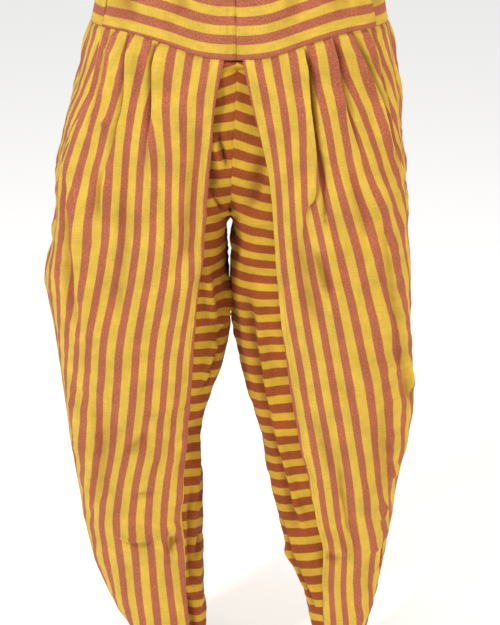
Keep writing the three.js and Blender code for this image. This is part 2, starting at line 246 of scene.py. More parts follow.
# Creases: from (s0, z0) to (s1, z1), s being the distance from a petal's open edge, from an under panel's
# centre seam or inner side, or from a back's side seam. The height is less than 0 for a groove. A lean throws
# the steep side outwards, and a bow bends the line outwards.
Crease = namedtuple("Crease", ("s0", "z0", "s1", "z1", "width", "height", "lean", "bow"))
CREASES = {
    "petal_right": (
        (129, -268, 131, -326, 4, 4.5, 1.4, 0),
        (131, -262, 133, -330, 7, -2.5, 0, 0),
        (204, -250, 148, -500, 10, -3.2, 0, 4),
        (192, -252, 130, -510, 11, 2.6, 0.6, 4),
        (148, -206, 130, -214, 3, 2.2, 0.8, 0),
        (46, -150, 44, -310, 12, 2.5, 0.5, 5),
        (22, -190, 24, -420, 9, -2.2, 0, -3),
        (12, -360, 30, -520, 10, 2.4, 0.6, 4),
        (44, -590, 74, -592, 3, 1.5, 1, 0),
        (52, -612, 92, -658, 6, -2.4, -0.6, -4),
        (28, -640, 70, -680, 9, 2, 0.5, 0),
        (32, -712, 86, -716, 4, -1.8, 0.8, 2),
        (60, -740, 100, -748, 5, 1.5, 0, 0),
        (40, -778, 100, -776, 4, 3.2, 1.2, -3),
        (42, -786, 96, -783, 4, -2.6, 0, -3),
        (4, -764, 36, -780, 6, 3.2, 0.8, 2),
        (16, -778, 22, -810, 6, -3.4, 0, 0),
        (84, -190, 80, -520, 12, 1.6, 0.4, 3),
        (100, -210, 96, -540, 9, -1.7, 0, 3),
        (152, -330, 122, -640, 9, 1.8, 0.5, 3),
        (140, -450, 116, -700, 8, -1.8, 0, 3),
        (76, -690, 62, -880, 10, 1.8, 0.5, 2),
        (30, -782, 36, -830, 5, 2.5, -0.8, 0),
        (100, -420, 70, -640, 22, 2.5, 0.4, 6),
        (60, -820, 44, -940, 16, 2, 0.4, 2),
        (104, -560, 120, -760, 18, -2, 0, 5),
        (176, -520, 150, -700, 14, 2.2, 0.5, 4),
    ),
    "petal_left": (
        (60, -215, 58, -372, 5, 1.6, 1.3, 1),
        (66, -225, 64, -372, 5, -2.2, 0, 1),
        (58, -318, 76, -440, 5, 4.2, -1.2, 2),
        (52, -360, 68, -436, 6, -3, 0, 2),
        (62, -322, 76, -323, 3, 1.5, 0.8, 0),
        (18, -190, 12, -300, 8, 2.2, -0.5, 3),
        (30, -330, 44, -520, 11, -2.2, 0, 4),
        (84, -250, 100, -420, 15, 2.5, 0.5, 5),
        (96, -250, 116, -380, 7, -2.5, 0, 2),
        (130, -250, 170, -420, 13, 2.2, 0.4, 0),
        (150, -500, 176, -610, 4, -3, 0.6, 3),
        (160, -500, 184, -600, 4, 2.6, 0.6, 3),
        (4, -700, 30, -699, 4, 1.8, 1, 0),
        (50, -640, 40, -800, 6, -3.0, 0.4, -3),
        (44, -650, 34, -800, 8, 2.6, 0.4, -3),
        (2, -806, 26, -816, 7, -2.6, 0, 0),
        (118, -300, 140, -520, 10, 1.8, 0.4, 3),
        (134, -300, 154, -540, 8, -1.8, 0, 3),
        (36, -420, 52, -620, 10, 1.8, 0.5, 3),
        (24, -560, 36, -760, 8, -1.6, 0, 3),
        (10, -792, 34, -802, 7, 3.5, 0.8, 0),
        (12, -820, 22, -880, 6, 3, -0.6, 0),
        (88, -806, 60, -810, 4, 2, 1, 0),
        (107, -734, 88, -768, 5, 3, 1, 0),
        (136, -676, 128, -712, 4, 3, 1.2, 0),
        (100, -800, 92, -850, 4, -3.5, 0, 0),
        (70, -420, 96, -640, 20, 2.4, 0.4, 8),
        (112, -560, 104, -740, 16, -2, 0, 5),
    ),
    # This panel folds over itself above the knee
    "inner_right": (
        (36, -408, 74, -500, 7, 7, 2.2, -7),
        (26, -410, 64, -500, 8, -8, 0, -7),
        (73, -480, 74, -575, 6, 6, 2.2, 2),
        (64, -480, 66, -580, 7, -6, 0, 2),
        (98, -385, 75, -488, 6, 5, 1.5, 3),
        (22, -214, 5, -268, 2.6, -3.6, 0, 0),
        (38, -236, 22, -300, 8, -2.6, 0, 0),
        (30, -220, 12, -272, 6, 1.8, 0, 0),
        (32, -280, 14, -330, 3, -2.5, 0, 0),
        (2, -330, 44, -352, 6, 2.5, 0.6, 3),
        (4, -352, 40, -372, 6, -2.5, 0, 3),
        (24, -600, 30, -740, 9, 2.2, 0.5, 3),
        (10, -740, 44, -775, 6, 2, 0.8, 0),
        (6, -800, 40, -840, 6, -2, 0, 0),
        (46, -700, 40, -900, 6, -2.4, 0.4, 3),
        (60, -862, 20, -1010, 5, -3.4, 0, 0),
    ),
    "inner_left": (
        (38, -230, 30, -330, 7, -2.5, 0.6, 2),
        (2, -330, 44, -352, 6, 2.5, 0.6, 3),
        (2, -350, 60, -385, 7, 2.6, 0.8, -4),
        (0, -380, 30, -400, 4, -2, 0, 0),
        (112, -410, 76, -650, 9, 4.5, 0.9, -6),
        (98, -410, 62, -650, 11, -4, 0, -6),
        (75, -600, 74, -800, 8, 3.5, 0.9, 0),
        (62, -600, 60, -800, 9, -3.5, 0, 0),
        (22, -420, 16, -640, 10, 2.5, 0.4, 4),
        (30, -760, 40, -930, 6, -2.6, 0, 3),
        (12, -820, 46, -846, 6, 1.8, 0.8, 0),
    ),
}
BACK_CREASES = (
    (30, -300, 60, -560, 16, -5, 0, 10),
    (90, -250, 70, -420, 14, 4, 0.5, 6),
    (200, -330, 120, -290, 12, 3.5, 0.6, 8),
    (212, -356, 120, -372, 13, 4, 0.8, 10),
    (216, -388, 130, -450, 12, -3.5, 0, 8),
    (190, -430, 150, -640, 16, 3.5, 0.5, 8),
    (60, -470, 90, -700, 18, 3.5, 0.5, 8),
    (120, -540, 110, -800, 16, -3.5, 0, 6),
    (40, -600, 130, -640, 9, 2.8, 0.8, 6),
    (50, -650, 140, -668, 9, -2.6, 0, 6),
    (30, -700, 110, -716, 8, 2.4, 0.8, 4),
    (60, -780, 70, -930, 11, 3, 0.5, 3),
    (110, -760, 96, -930, 10, -2.6, 0, 3),
)
CREASES.update((f"back_{side}", BACK_CREASES) for side in SIDES)
CREASE_STRENGTH = 2.3  # multiplies the heights above
CREASE_FADE = 0.34  # share of a crease over which it fades in and out
LEAN_LIMITS = (-0.6, 3)
CREASE_SHADE = {"petal": 14.0, "inner": 7.0, "back": 14.0}  # depth of a groove at which the painted shade in it is darkest
CREASE_DARKEST = 0.7

# Crumple: cell sizes across and along the panel, and height; each is turned and shifted from the one before
CRUMPLES = ((62, 90, 2.8), (26, 34, 2.0), (11, 14, 0.8))
CRUMPLE_TURN = 0.35
CRUMPLE_SHIFT = (7.3, 3.1)
NOISE_CELLS = 64
SEEDS = {"petal": 11, "inner": 21, "back": 31, "yoke_front": 41, "yoke_back": 51}
CALM = 0.15  # share of the crumple at the yoke seam
CALM_DEPTH = 60.0  # depth below the seam at which it is full
CALM_WIDTH = 16.0  # distance from the other seams at which the relief is full

# Relief beside the borders: distance up to which it is full, height, and width over which it fades
CASING = 26.0  # height of the stitched casing at the waist
BORDERS = {
    "behind yoke": ((1.0, -1.8, 5.0),),
    "hem": ((12.0, 0.5, 3.0), (0.0, -0.9, 2.0)),
    "open edge": ((7.0, 0.6, 2.0), (0.0, -1.4, 2.5)),
    "side seam": ((0.0, -0.9, 3.0),),
    "centre back": ((0.0, -1.2, 4.0),),
    "centre gap": ((0.5, -6.0, 4.0),),
    "yoke top": ((CASING - 3.0, 0.9, 3.0), (0.0, -1.2, 2.5)),
    "yoke foot": ((0.0, -1.3, 2.4),),
    "yoke end": ((0.0, -0.7, 2.5),),
}

# The open edge's waves: length, height and seed of each, their reach in from the edge, and the depth below
# the seam at which they are full
EDGE_WAVES = ((46, 2.2, 91), (19, 0.8, 92))
WAVE_REACH = 26.0
WAVE_DEPTH = 40.0

# The under panels' centre seam sinks in, and their top edge rolls out there, with a gap above the roll
CENTRE_SINK = 1.2
CENTRE_WIDTH = 2.5
CENTRE_ABOVE = (40.0, 80.0)  # height above the crotch at which it starts, and over which it grows
ROLL_REACH = 15.0
ROLL = ((6.0, 2.6, 4.0), (12.5, 4.0, -5.0))  # depth, width and height of the roll and of the hollow below it

# The yoke: ripples as (angle, width in degrees, height), front first
YOKE_FRONT_RIPPLES = {
    "right": (
        (93, 3, -1.2), (102, 4, 1.2), (113, 5, -1.2), (124, 6, 1.4), (138, 6, -1.0), (148, 5, 1.0)
    ),
    "left": (
        (94.5, 2, -2.2), (100, 4, 1.4), (109, 4, -1.0), (119, 5, 1.4), (133, 6, -1.2), (146, 5, 1.0)
    ),
}
YOKE_BACK_RIPPLES = (
    (170, 6, 1.6), (186, 6, -1.2), (204, 7, 1.5), (222, 7, -1.2), (240, 6, 1.4), (258, 6, -1)
)
RIPPLE_FOOT = (0.35, 50.0)  # share of a ripple at the seam, and height above it at which all is left
RIPPLE_TOP = 0.5  # share of a ripple at the waist
YOKE_CRUMPLE = 0.8
YOKE_CALM = (0.2, 40.0)  # as RIPPLE_FOOT, for the crumple
YOKE_LIFT = 0.4
YOKE_OVER = 0.6  # how far the yoke runs down over the seam
YOKE_FIRST = 6.0  # height above the seam at which a yellow stripe begins
# How much lower the stripes lie on each front half, at the centre and at YOKE_TURN degrees round the leg
YOKE_LOWER = {"right": (-2.5, 2.5), "left": (-1.5, -0.5)}
YOKE_TURN = 125
YOKE_BACK_LOWER = 5.0
YOKE_DARK = 5.0  # depth of a hollow of the yoke at which its painted shade is darkest

# Stitches: each is a thread that thins to its ends, by (place along it, thickness)
STITCH = {"length": 2.4, "pitch": 3.4, "radius": 0.28, "bed": 0.9, "raised": 0.05}
STITCH_SIDES = 6
STITCH_PROFILE = ((-0.5, 0.25), (-0.36, 0.9), (0.0, 1.0), (0.36, 0.9), (0.5, 0.25))
EDGE_STITCH = 6.5  # from a petal's open edge in to its stitches
EDGE_STITCH_ENDS = (4, 2)  # rows left free above and below them
HEM_STITCH = 11.0  # from the hem up to its stitches
YOKE_STITCH = 3.0  # from the yoke's lower edge up to its stitches
CENTRE_STITCH = 2  # column of the right front half's stitches beside the centre seam

# Colours, linear
COTTON = {
    "yellow": (0.80, 0.56, 0.09),
    "yellow_shade": (0.60, 0.38, 0.045),
    "rust": (0.34, 0.075, 0.036),
    "rust_light": (0.60, 0.23, 0.125),
    # colour of the painted shade in pleats, creases and the yoke's hollows
    "hollow": (0.20, 0.03, 0.008),
}
# the under panels are the same cotton; these darker, deeper colours are painted shade for the petals'
# overhang
SHADED_UNDER_COTTON = {
    "yellow": (0.72, 0.45, 0.045),
    "yellow_shade": (0.56, 0.32, 0.028),
    "rust": (0.25, 0.046, 0.011),
    "rust_light": (0.42, 0.12, 0.030),
    "hollow": (0.12, 0.02, 0.006),
}
THREAD = (0.36, 0.12, 0.05)
THREAD_PALE = 1.7  # how much lighter the thread is in places
THREAD_GRAIN = (900, 900, 900)

# Noises of the cloth: scale across and along the stripes, for each millimetre, detail and roughness
NOISES = {
    "wander": ((0.02, 0.03, 1), 2, 0.5),
    "fray": ((0.3, 1.3, 1), 2, 0.5),
    "warp slub": ((0.9, 0.06, 1), 3, 0.6),
    "weft slub": ((0.07, 0.9, 1), 3, 0.6),
    "blotch": ((0.03, 0.03, 1), 3, 0.5),
    "fleck": ((0.42, 0.8, 1), 3, 0.75),
    "creping": ((0.13, 0.16, 1), 3, 0.5),
}
STRIPE_WANDER = 0.05  # how far a stripe's edges wander, in periods
STRIPE_FRAY = 0.07  # how far they fray from thread to thread
STRIPE_SHARPNESS = 24.0
YELLOW_RAMP = (0.38, 2.6)  # slub at which the yellow starts to clear, and how fast it does
FLECK_RAMP = (0.44, 4.5)  # the same for the rust's pale flecks
RUST_SHARES = {"fleck": 0.8, "slub": 0.2}
PAINTED_SHADE_SHARE = 0.8  # share of the painted shade's colour where it is darkest
TONE = {"least": 0.68, "spread": 0.64}  # brightness of the blotches
ROUGHNESS = {"least": 0.82, "spread": 0.12}
YARN_PITCH = 0.62
RELIEF = {"yarn": 0.06, "slub": 0.5, "fleck": 0.25, "creping": 1.8}  # heights of the bump's parts, in mm

# Share of yellow in a period of each cloth's stripes, and its colours
CLOTHS = {
    "yoke": (0.50, COTTON),
    "petal": (0.52, COTTON),
    # the under panels' cloth, in the darker colours of painted shade
    "under": (0.46, SHADED_UNDER_COTTON),
    "back": (0.52, COTTON),
}
LAYER_CLOTH = {"petal": "petal", "inner": "under", "back": "back"}

# The studio, in metres; each light looks at the middle of the pants
FLOOR_Z = -1.03
FLOOR_REACH = 14.0
FLOOR_GLOW = 0.56  # keeps the floor near white in every view
WORLD_STRENGTH = 0.25
Light = namedtuple("Light", ("name", "place", "size", "power", "colour"))
LIGHTS = (
    Light("key", (-1.9, -2.0, 1.7), 0.5, 74, (1.0, 1.0, 1.0)),
    Light("side", (2.6, -0.9, 0.5), 0.7, 32, (1.0, 0.86, 0.62)),
    Light("top", (0.2, -0.5, 2.3), 0.9, 20, (1.0, 1.0, 1.0)),
)
MIDDLE = (0.0, 0.0, -0.45)
CAMERA = {"place": (0.0162, -2.315, 0.354), "tilt": 70, "lens": 72.15, "sensor": 24.0}


def ease(t):
    t = np.clip(t, 0.0, 1.0)
    return t * t * (3.0 - 2.0 * t)


def mix(a, b, t):
    return a + (b - a) * t


def bell(distance, width):
    return np.exp(-((distance / width) ** 2))


def curve_through(rows, column):
    """A smooth curve through one column of a table whose rows go down in z, for arrays of z."""
    table = np.array(rows, float)
    heights = table[:, 0]
    values = table[:, column]
    count = len(heights)
    above = np.maximum(np.arange(count) - 1, 0)
    below = np.minimum(np.arange(count) + 1, count - 1)
    slopes = (values[below] - values[above]) / (heights[below] - heights[above])

    def value(z):
        z = np.clip(np.asarray(z, float), heights[-1], heights[0])
        i = np.clip(np.searchsorted(-heights, -z, side="right") - 1, 0, count - 2)
        height = heights[i + 1] - heights[i]
        t = (z - heights[i]) / height
        start = values[i] * (1 + 2 * t) * (1 - t) ** 2 + slopes[i] * height * t * (1 - t) ** 2
        end = values[i + 1] * (3 - 2 * t) * t**2 - slopes[i + 1] * height * (1 - t) * t**2
        return start + end

    return value


def curves_of(rows, columns):
    return {name: curve_through(rows, i) for i, name in enumerate(columns) if i}


outline = curves_of(OUTLINE, OUTLINE_COLUMNS)
inside = curves_of(INSIDE, SIDE_COLUMNS)
petal_edge = curves_of(PETAL_EDGES, SIDE_COLUMNS)
side_seam = curve_through(SIDE_SEAM, 1)
inseam = curve_through(INSEAM, 1)
under_slant = {side: curve_through(UNDER_SLANT[side], 1) for side in SIDES}
under_drift = {side: curve_through(UNDER_DRIFT[side], 1) for side in SIDES}
back_lean = curve_through(BACK_LEAN, 1)


def torso_depth(z):
    return np.clip((YOKE_SEAM["front"] - z) / (YOKE_SEAM["front"] - CROTCH["z"]), 0, 1)


def centre_x(z):
    return CROTCH["x"] * ease(torso_depth(z))


def leg_section(side, z):
    """A leg's level sections at an array of heights, as in the part's source."""
    out = OUTWARD[side]
    front = outline["front"](z)
    back = outline["back"](z)
    outer = outline[side](z)
    reach = 1 - (1 - torso_depth(z) ** 2) ** CROTCH["curve"]
    torso_rx = np.abs(outer - centre_x(z)) / (1 + reach)
    leg_cx = (outer + inside[side](z)) / 2
    torso = z >= CROTCH["z"]
    return {
        "out": out,
        "power": outline["power"](z),
        "cx": np.where(torso, centre_x(z) + out * reach * torso_rx, leg_cx),
        "rx": np.where(torso, torso_rx, np.abs(outer - leg_cx)),
        "cy": (front + back) / 2,
        "ry": (back - front) / 2,
    }


def under_section(side, z):
    """The same for the front of an under panel, which lies in from the petal."""
    section = leg_section(side, z)
    tuck = mix(LAYER_STEP, UNDER_TUCK, ease((YOKE_SEAM["front"] - z) / TUCK_LENGTH))
    return {
        **section,
        "cx": section["cx"] - section["out"] * LAYER_STEP / 2,
        "rx": section["rx"] - LAYER_STEP / 2,
        "ry": section["ry"] - tuck,
    }


def section_point(section, angle):
    """Points and outward normals of sections at angles from the inner side (0) by the front (90)."""

    def bend(value):
        return np.sign(value) * np.abs(value) ** (2 / section["power"])

    def steep(value):
        return np.sign(value) * np.abs(value) ** (section["power"] - 1)

    x = -section["out"] * bend(np.cos(np.radians(angle)))
    y = -bend(np.sin(np.radians(angle)))
    nx = steep(x) / section["rx"]
    ny = steep(y) / section["ry"]
    length = np.hypot(nx, ny)
    points = section["cx"] + section["rx"] * x, section["cy"] + section["ry"] * y
    return (*points, nx / length, ny / length)


def angle_at_x(section, x):
    along = np.clip(-section["out"] * (x - section["cx"]) / section["rx"], -1, 1)
    return np.degrees(np.arccos(np.sign(along) * np.abs(along) ** (section["power"] / 2)))


def seam_height(angle):
    """Height of the yoke seam round a leg."""
    dip = np.abs(np.cos(np.radians(angle - 90))) ** YOKE_DIP
    front = mix(YOKE_SEAM["side"], YOKE_SEAM["front"], dip)
    back = mix(YOKE_SEAM["side"], YOKE_SEAM["back"], ease((angle - 180) / 90))
    return np.where(angle < 180, front, back)


def petal_span(side, z):
    return angle_at_x(leg_section(side, z), petal_edge[side](z)), side_seam(z)


def under_span(side, z):
    centre = centre_x(z) - OUTWARD[side] * SEAM_LAP
    start = np.where(z >= CROTCH["z"], angle_at_x(under_section(side, z), centre), -inseam(z) - INSEAM_LAP)
    return start, side_seam(z)


def back_span(side, z):
    centre = centre_x(z) - OUTWARD[side] * SEAM_LAP
    end = np.where(z >= CROTCH["z"], angle_at_x(leg_section(side, z), centre), inseam(z))
    return side_seam(z), 360 - end


SPANS = {"petal": petal_span, "inner": under_span, "back": back_span}


def layer_section(layer, side, z, angle):
    """Sections that a panel lies on. Past the inner side, an under panel lies on the leg's."""
    leg = leg_section(side, z)
    if layer != "inner":
        return leg
    under = under_section(side, z)
    behind = angle < 0
    return {key: leg[key] if key == "out" else np.where(behind, leg[key], under[key]) for key in leg}


def soft_noise(a, b, seed):
    """Smooth noise from -1 to 1 over two coordinates, both counted in cells."""
    lattice = np.random.default_rng(seed).uniform(-1, 1, (NOISE_CELLS, NOISE_CELLS))
    i = np.floor(a).astype(int)
    j = np.floor(b).astype(int)
    u = ease(a - i)
    v = ease(b - j)
    corners = [lattice[(i + di) % NOISE_CELLS, (j + dj) % NOISE_CELLS] for di in (0, 1) for dj in (0, 1)]
    return mix(mix(corners[0], corners[1], v), mix(corners[2], corners[3], v), u)


def crumple(across, along, seed):
    height = np.zeros_like(across)
    for k, (cell_across, cell_along, size) in enumerate(CRUMPLES):
        turn = CRUMPLE_TURN * (k + 1)
        a = (across + turn * along) / cell_across + CRUMPLE_SHIFT[0] * k
        b = (along - turn * across) / cell_along + CRUMPLE_SHIFT[1] * k
        height += size * soft_noise(a, b, seed + k)
    return height


def crease_height(creases, s, z):
    """Height of a panel's creases at points with distance s across it and height z."""
    total = np.zeros_like(s)
    for crease in (Crease(*row) for row in creases):
        length = math.hypot(crease.s1 - crease.s0, crease.z1 - crease.z0)
        way_s = (crease.s1 - crease.s0) / length
        way_z = (crease.z1 - crease.z0) / length
        along = ((s - crease.s0) * way_s + (z - crease.z0) * way_z) / length
        across = -(s - crease.s0) * way_z + (z - crease.z0) * way_s
        across = (across - 4 * crease.bow * along * (1 - along)) / crease.width
        ends = ease(along / CREASE_FADE) * ease((1 - along) / CREASE_FADE)
        steep = 1 + np.clip(crease.lean * np.sign(across), *LEAN_LIMITS)
        total += crease.height * ends * np.exp(-(across**2) * steep)
    return total


def pleat_shape(pleat, gap, depth):
    """Lift, lean, taken-up cloth and painted shade of one pleat, for distances past its fold and below the
    seam.
    """
    opening = 1 - ease(depth / pleat.length)
    swell = mix(PLEAT_FLAT, 1, ease(depth / PLEAT_SWELL))
    stand = pleat.height * opening * swell * ease((depth - PLEAT_FREE[0]) / PLEAT_FREE[1])
    climb = ease(1 + gap / PLEAT_RISE)
    drop = 1 - (1 + PLEAT_GROOVE) * ease(gap / PLEAT_STEP)
    recover = -PLEAT_GROOVE * (1 - ease((gap - PLEAT_STEP) / PLEAT_RECOVER))
    lift = stand * np.where(gap < 0, climb, np.where(gap < PLEAT_STEP, drop, recover))
    hang = stand * PLEAT_HANG * bell(gap - HANG_PLACE, HANG_WIDTH)
    cloth = pleat.taken * opening * (gap > PLEAT_TAKES * PLEAT_STEP)
    # painted shade beside the fold: a dark band just past it, where shade falls in the groove
    beyond = np.maximum(gap - PLEAT_STEP - DARK_SPREAD * stand, 0)
    hollow = stand / PLEAT_DARK * ease(gap / DARK_FROM) * np.exp(-beyond / DARK_FADE)
    return lift, hang, cloth, hollow


def column_places(pleats, cell, width):
    """Places of a panel's columns at the seam, close together beside each pleat."""
    places = [0.0]
    while places[-1] < 1:
        here = places[-1]
        nearest = min((abs(here - pleat.seam) * width for pleat in pleats), default=width)
        edge = min(here, 1 - here) * width
        room = min(nearest - PLEAT_MARGIN, edge + EDGE_START)
        places.append(here + cell * np.clip(room / WIDEN_OVER, FINEST, 1) / width)
    places[-1] = 1.0
    return np.array(places)


def level_rows():
    """Levels of a panel's rows: from behind the yoke, close together below it, then down to the hem."""
    near = YOKE_SEAM["front"] - NEAR_SEAM
    top = np.linspace(YOKE_SEAM["front"] + UNDER_YOKE, near, NEAR_LEVELS, endpoint=False)
    return np.concatenate([top, np.linspace(near, HEM_Z, LEVELS - NEAR_LEVELS)])


def panel_grid(layer, side, pleats):
    """Places of a panel's columns, and each point's height, depth below the seam and angle round the leg."""
    seam_z = YOKE_SEAM["front"]
    seam_start, seam_end = (float(angle) for angle in SPANS[layer](side, seam_z))
    width = math.radians(seam_end - seam_start) * float(leg_section(side, seam_z)["ry"])
    places = column_places(pleats, CELLS[layer], max(width, LEAST_WIDTH))
    levels = level_rows()[:, None]
    depth = seam_z - levels
    follow = np.clip(1 - depth / SEAM_LEVEL, 0, 1)
    z = levels + (seam_height(mix(seam_start, seam_end, places))[None, :] - seam_z) * follow

    at_seam = [0.0, *(pleat.seam for pleat in pleats), 1.0]
    across = np.empty_like(z)
    for row, row_depth in enumerate(depth[:, 0]):
        here = [mix(pleat.seam, pleat.low, ease(row_depth / pleat.shift)) for pleat in pleats]
        across[row] = np.interp(places, at_seam, [0.0, *here, 1.0])
    start, end = SPANS[layer](side, z)
    return places, z, depth, mix(start, end, across)


def distances(x, y):
    """Distance of each point along its row."""
    steps = np.hypot(np.diff(x, axis=1), np.diff(y, axis=1))
    return np.concatenate([np.zeros((len(x), 1)), np.cumsum(steps, axis=1)], axis=1)


def drape_panel(layer, side, seed):
    """A leg panel's points, with the normals, the place in the weave and the painted shade at each of them.
    """
    name = f"{layer}_{side}"
    pleats = [Pleat(*row) for row in PLEATS.get(name, ())]
    places, z, depth, angle = panel_grid(layer, side, pleats)
    x, y, nx, ny = section_point(layer_section(layer, side, z, angle), angle)
    s = distances(x, y)
    if layer == "inner":
        s -= np.array([np.interp(0, angle[row], s[row]) for row in range(len(s))])[:, None]
    tx = np.gradient(x, axis=1)
    ty = np.gradient(y, axis=1)
    length = np.maximum(np.hypot(tx, ty), 1e-6)

    lift, hang, taken, hollow = (np.zeros_like(s) for _ in range(4))
    for pleat in pleats:
        column = int(np.argmin(np.abs(places - pleat.seam)))
        gap = s - s[:, column : column + 1]
        shape = pleat_shape(pleat, gap, np.maximum(depth, 0))
        for total, value in zip((lift, hang, taken, hollow), shape):
            total += value
    creased = CREASE_STRENGTH * crease_height(CREASES[name], s, z)
    # painted shade in the grooves of the creases, deeper on the under panels
    hollow += np.clip(-creased / CREASE_SHADE[layer], 0, CREASE_DARKEST)
    lift += creased + mix(CALM, 1, ease(depth / CALM_DEPTH)) * crumple(s, z, seed)
    lift *= seam_calm(layer, s)
    lift += panel_edges(layer, s, z, depth)
    if layer == "inner":
        lift -= UNDER_CLEAR * hidden_share(side, s, z, angle)

    x = x + nx * lift + tx / length * hang
    y = y + ny * lift + ty / length * hang
    points = np.stack([x, y, z], axis=-1)
    return points, (nx, ny), weave_of(layer, side, s, z, taken), np.clip(hollow, 0, 1)


def seam_calm(layer, s):
    """Share of the relief that is left towards the seams, where two panels are sewn edge to edge."""
    from_first = 1.0 if layer == "petal" else ease((s - s[:, :1]) / CALM_WIDTH)
    return from_first * ease((s[:, -1:] - s) / CALM_WIDTH)


def hidden_share(side, s, z, angle):
    """How hidden an under panel is: 0 by the petal's edge, 1 well behind it, and less at the side seam."""
    behind = ease((angle - petal_span(side, z)[0] - CLEAR_FROM) / CLEAR_OVER)
    return behind * mix(SIDE_CLEAR, 1, ease((s[:, -1:] - s) / SIDE_CLEAR_WIDTH))


def border(kind, distance):
    """Lift at distances from a border."""
    return sum(height * (1 - ease((distance - full) / width)) for full, height, width in BORDERS[kind])


def panel_edges(layer, s, z, depth):
    """Lift along all of a panel's borders."""
    from_last = s[:, -1:] - s
    lift = border("behind yoke", depth) + border("hem", z - HEM_Z)
    if layer == "petal":
        wave = sum(size * soft_noise(z / length, s * 0, seed) for length, size, seed in EDGE_WAVES)
        lift += wave * (1 - ease(s / WAVE_REACH)) * ease(depth / WAVE_DEPTH)
        lift += border("open edge", s) + border("side seam", from_last)
    if layer == "back":
        lift += border("side seam", s) + border("centre back", from_last)
    if layer == "inner":
        above = z - CROTCH["z"]
        lift -= CENTRE_SINK * bell(s, CENTRE_WIDTH) * ease((above - CENTRE_ABOVE[0]) / CENTRE_ABOVE[1])
        roll = sum(height * bell(depth - middle, width) for middle, width, height in ROLL)
        lift += bell(s, ROLL_REACH) * (above > 0) * (roll + border("centre gap", depth))
    return lift


def weave_of(layer, side, s, z, taken):
    """Place in the weave: stripes counted in periods, and millimetres across and along the stripes."""
    if layer == "petal":
        columns = [curve_through(DRIFT[side], k + 1)(z) for k in range(len(DRIFT_AT))]
        drift = columns[0]
        for k in range(len(DRIFT_AT) - 1):
            t = np.clip((s - DRIFT_AT[k]) / (DRIFT_AT[k + 1] - DRIFT_AT[k]), 0, 1)
            drift = drift + (columns[k + 1] - columns[k]) * t
        across = s + drift + taken
        return np.stack([(across - EDGE_STRIPE) / PERIOD, across, z], axis=-1)
    if layer == "inner":
        across = UNDER_FIRST[side] - z + under_slant[side](z) * s - under_drift[side](z) + taken
        return np.stack([across / UNDER_PERIOD + 0.5, across, s], axis=-1)
    across = s + taken - back_lean(z)
    return np.stack([across / PERIOD, across, z], axis=-1)


def drape_yoke(name, stations, seed):
    """A stretch of the yoke. Stations are (side, angle) pairs in order round the waist."""
    sides = np.array([side for side, _ in stations])
    angles = np.array([angle for _, angle in stations])
    t = np.linspace(0, 1, YOKE_LEVELS)[:, None]
    bottom = seam_height(angles)[None, :] - YOKE_OVER
    z = t * bottom
    x, y, nx, ny = (np.empty_like(z) for _ in range(4))
    for side in np.unique(sides):
        chosen = sides == side
        values = section_point(leg_section(side, z[:, chosen]), angles[chosen][None, :])
        for target, value in zip((x, y, nx, ny), values):
            target[:, chosen] = value

    s = distances(x, y)
    above = z - bottom
    lift = YOKE_CRUMPLE * crumple(s, z, seed) * mix(YOKE_CALM[0], 1, ease(above / YOKE_CALM[1]))
    rippled = mix(RIPPLE_FOOT[0], 1, ease(above / RIPPLE_FOOT[1])) * mix(RIPPLE_TOP, 1, t)
    for side in SIDES:
        ripples = YOKE_BACK_RIPPLES if name == "yoke_back" else YOKE_FRONT_RIPPLES[side]
        for angle, wide, height in ripples:
            lift += height * (bell(angles - angle, wide) * (sides == side))[None, :] * rippled
    lift += YOKE_LIFT + border("yoke foot", above) + border("yoke top", -z)
    lift += border("yoke end", s) + border("yoke end", s[:, -1:] - s)
    if name == "yoke_back":
        lower = np.full(len(angles), YOKE_BACK_LOWER)
    else:
        lower = np.interp(angles, (90, YOKE_TURN), YOKE_LOWER[sides[0]])
    stripe = (above + lower[None, :] - YOKE_FIRST) / YOKE_PERIOD
    points = np.stack([x + nx * lift, y + ny * lift, z], axis=-1)
    # the last value is painted shade, darker where the yoke's cloth lies further in
    return points, (nx, ny), np.stack([stripe, above, s], axis=-1), np.clip(-lift / YOKE_DARK, 0, 1)


def new_object(name, data):
    made = bpy.data.objects.new(name, data)
    bpy.context.scene.collection.objects.link(made)
    return made


def new_piece(name, points, faces):
    """A smooth mesh object from points in millimetres."""
    mesh = bpy.data.meshes.new(name)
    mesh.from_pydata((np.array(points) * MM).tolist(), [], faces)
    mesh.polygons.foreach_set("use_smooth", np.ones(len(mesh.polygons), bool))
    return new_object(name, mesh)


def cloth_piece(name, points, normals, weave, hollow, thickness):
    """A sheet of quads through the grid of points, facing outwards, with its own thickness set inwards."""
    rows, columns = points.shape[:2]
    a = (np.arange(rows - 1)[:, None] * columns + np.arange(columns - 1)[None, :]).ravel()
    quads = np.stack([a, a + columns, a + columns + 1, a + 1], axis=1)
    flat = points.reshape(-1, 3)
    middle = (rows // 2) * columns + columns // 2
    facing = np.cross(flat[middle + columns] - flat[middle], flat[middle + 1] - flat[middle])
    nx, ny = (normal.ravel()[middle] for normal in normals)
    if facing[0] * nx + facing[1] * ny < 0:
        quads = quads[:, ::-1]
    piece = new_piece(name, flat, quads.tolist())
    attribute = piece.data.attributes.new("weave", "FLOAT_VECTOR", "POINT")
    attribute.data.foreach_set("vector", weave.astype(np.float32).ravel())
    # painted shade of the folds, which darkens the cloth's colour
    attribute = piece.data.attributes.new("hollow", "FLOAT", "POINT")
    attribute.data.foreach_set("value", hollow.astype(np.float32).ravel())
    wall = piece.modifiers.new("wall", "SOLIDIFY")
    wall.thickness = thickness * MM
    wall.offset = -1
    wall.use_even_offset = True
    return piece


